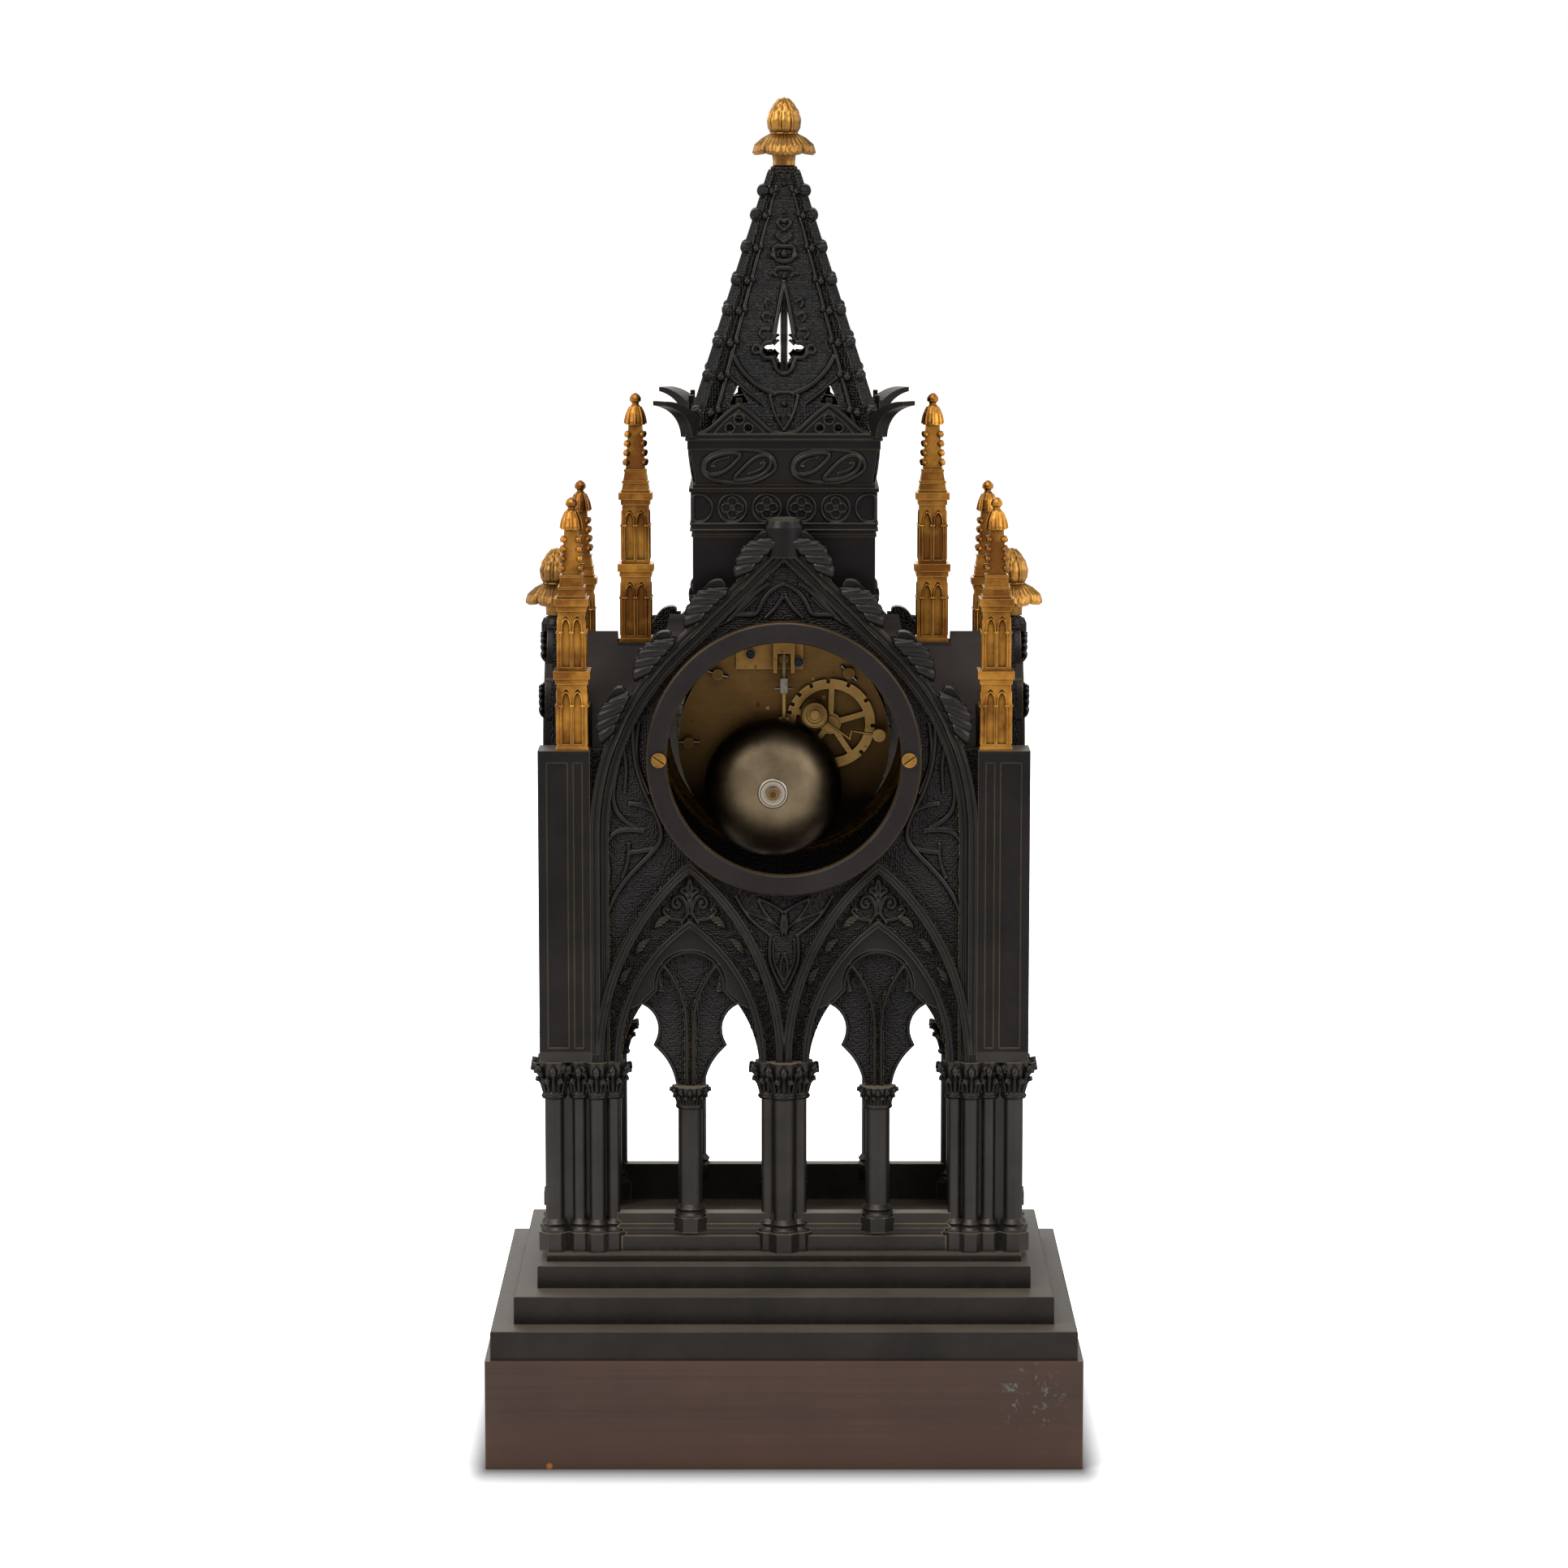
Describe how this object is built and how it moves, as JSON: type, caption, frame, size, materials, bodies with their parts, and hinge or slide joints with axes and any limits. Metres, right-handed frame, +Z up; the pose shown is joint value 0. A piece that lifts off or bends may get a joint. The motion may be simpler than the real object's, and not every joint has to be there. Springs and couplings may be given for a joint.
{
  "type": "steeple clock",
  "caption": "Gothic tower table clock in patinated bronze: open arcaded case, crocketed gables, gilt pinnacles, pierced spire, and a spring movement with bell seen through the rear ring.",
  "frame": {"origin": "centre of the plinth at its underside", "axes": "+Z up, +X to the right seen from the dial side, the dial faces -Y and the bell faces +Y"},
  "size_m": [0.245, 0.188, 0.5575],
  "materials": {
    "patinated_bronze": "dark brown-black patina, worn on the edges",
    "brown_bronze": "brown patina, satin",
    "gilt_bronze": "aged gilding, dark in the hollows",
    "movement_brass": "aged brass, satin",
    "steel": "plain steel, dulled",
    "blued_steel": "blued, polished",
    "bell_metal": "grey-brown, softly polished",
    "enamel": "white enamel, glossy",
    "glass": "clear, domed"
  },
  "bodies": {
    "case": {"back_arcade": "patinated_bronze", "back_facade": "patinated_bronze", "back_plate": "movement_brass", "bell": "bell_metal", "bell_post": "steel", "dial": "enamel", "finial_left": "gilt_bronze", "finial_right": "gilt_bronze", "finial_top": "gilt_bronze", "front_arcade": "patinated_bronze", "front_bezel": "gilt_bronze", "front_facade": "patinated_bronze", "front_plate": "movement_brass", "left_wall": "patinated_bronze", "movement_straps": "movement_brass", "pier_back_left": "patinated_bronze", "pier_back_right": "patinated_bronze", "pier_front_left": "patinated_bronze", "pier_front_right": "patinated_bronze", "pillar_pins": "steel", "pinnacle_back_left": "gilt_bronze", "pinnacle_back_right": "gilt_bronze", "pinnacle_front_left": "gilt_bronze", "pinnacle_front_right": "gilt_bronze", "pinnacle_roof_left": "gilt_bronze", "pinnacle_roof_right": "gilt_bronze", "plate_pillars": "movement_brass", "plinth_block": "brown_bronze", "rear_ring": "patinated_bronze", "right_wall": "patinated_bronze", "ring_screws": "gilt_bronze", "roof": "patinated_bronze", "scroll_block": "patinated_bronze", "spire": "patinated_bronze", "spire_crown": "patinated_bronze", "spire_rod": "steel", "stepped_base": "patinated_bronze", "suspension_bracket": "movement_brass", "tower": "patinated_bronze"},
    "door": {"door_bezel": "gilt_bronze", "door_glass": "glass"},
    "hands": {"centre_wheel": "movement_brass", "minute_hand": "blued_steel"},
    "hours": {"hour_wheel": "movement_brass", "hour_hand": "blued_steel"},
    "minute_wheel": {"minute_wheel": "movement_brass"},
    "third_wheel": {"third_wheel": "movement_brass"},
    "escape_wheel": {"escape_wheel": "movement_brass"},
    "middle_wheel": {"middle_wheel": "movement_brass"},
    "going_barrel": {"going_barrel": "movement_brass"},
    "going_winder": {"going_winder": "steel"},
    "pin_wheel": {"pin_wheel": "movement_brass"},
    "second_wheel": {"second_wheel": "movement_brass", "count_wheel": "movement_brass"},
    "strike_barrel": {"strike_barrel": "movement_brass"},
    "strike_winder": {"strike_winder": "steel"},
    "fly": {"fly": "movement_brass"},
    "crutch": {"crutch": "movement_brass", "suspension_spring": "steel"},
    "hammer": {"hammer": "movement_brass"}
  },
  "joints": [
    {"name": "door_hinge", "type": "hinge", "parent": "case", "child": "door", "pos_m": [0.0602, -0.0586, 0.2886], "axis": [0, 0, 1], "range_deg": [0, 110]},
    {"name": "hands_turn", "type": "hinge", "parent": "case", "child": "hands", "pos_m": [0, -0.02, 0.2886], "axis": [0, 1, 0], "continuous": true},
    {"name": "hour_turn", "type": "hinge", "parent": "case", "child": "hours", "pos_m": [0, -0.02, 0.2886], "axis": [0, 1, 0], "continuous": true},
    {"name": "minute_wheel_turn", "type": "hinge", "parent": "case", "child": "minute_wheel", "pos_m": [0, -0.045, 0.3006], "axis": [0, 1, 0], "continuous": true},
    {"name": "third_wheel_turn", "type": "hinge", "parent": "case", "child": "third_wheel", "pos_m": [0.00687, -0.02, 0.30288], "axis": [0, 1, 0], "continuous": true},
    {"name": "escape_wheel_turn", "type": "hinge", "parent": "case", "child": "escape_wheel", "pos_m": [0, -0.02, 0.3121], "axis": [0, 1, 0], "continuous": true},
    {"name": "middle_wheel_turn", "type": "hinge", "parent": "case", "child": "middle_wheel", "pos_m": [0.00091, -0.02, 0.27062], "axis": [0, 1, 0], "continuous": true},
    {"name": "going_barrel_turn", "type": "hinge", "parent": "case", "child": "going_barrel", "pos_m": [0.021, -0.02, 0.2756], "axis": [0, 1, 0], "continuous": true},
    {"name": "going_wind", "type": "hinge", "parent": "case", "child": "going_winder", "pos_m": [0.021, -0.02, 0.2756], "axis": [0, 1, 0], "continuous": true},
    {"name": "strike_run", "type": "hinge", "parent": "case", "child": "pin_wheel", "pos_m": [-0.01665, -0.02, 0.30733], "axis": [0, 1, 0], "continuous": true},
    {"name": "count_turn", "type": "hinge", "parent": "case", "child": "second_wheel", "pos_m": [-0.0195, -0.02, 0.2967], "axis": [0, 1, 0], "continuous": true},
    {"name": "strike_barrel_turn", "type": "hinge", "parent": "case", "child": "strike_barrel", "pos_m": [-0.021, -0.02, 0.2756], "axis": [0, 1, 0], "continuous": true},
    {"name": "strike_wind", "type": "hinge", "parent": "case", "child": "strike_winder", "pos_m": [-0.021, -0.02, 0.2756], "axis": [0, 1, 0], "continuous": true},
    {"name": "fly_turn", "type": "hinge", "parent": "case", "child": "fly", "pos_m": [-0.01221, -0.02, 0.31502], "axis": [0, 1, 0], "continuous": true},
    {"name": "crutch_swing", "type": "hinge", "parent": "case", "child": "crutch", "pos_m": [0, -0.02, 0.3241], "axis": [0, 1, 0], "range_deg": [-3, 3]},
    {"name": "hammer_lift", "type": "hinge", "parent": "case", "child": "hammer", "pos_m": [-0.0398, -0.02, 0.2926], "axis": [0, -1, 0], "range_deg": [0, 14]}
  ],
  "couplings": [
    {"joint": "hour_turn", "follows": "hands_turn", "ratio": 0.083333},
    {"joint": "minute_wheel_turn", "follows": "hands_turn", "ratio": -0.33333},
    {"joint": "third_wheel_turn", "follows": "hands_turn", "ratio": -10},
    {"joint": "escape_wheel_turn", "follows": "hands_turn", "ratio": 90},
    {"joint": "middle_wheel_turn", "follows": "hands_turn", "ratio": -0.125},
    {"joint": "going_barrel_turn", "follows": "hands_turn", "ratio": 0.015625},
    {"joint": "count_turn", "follows": "strike_run", "ratio": -0.11111},
    {"joint": "strike_barrel_turn", "follows": "strike_run", "ratio": 0.018519},
    {"joint": "fly_turn", "follows": "strike_run", "ratio": -9}
  ]
}
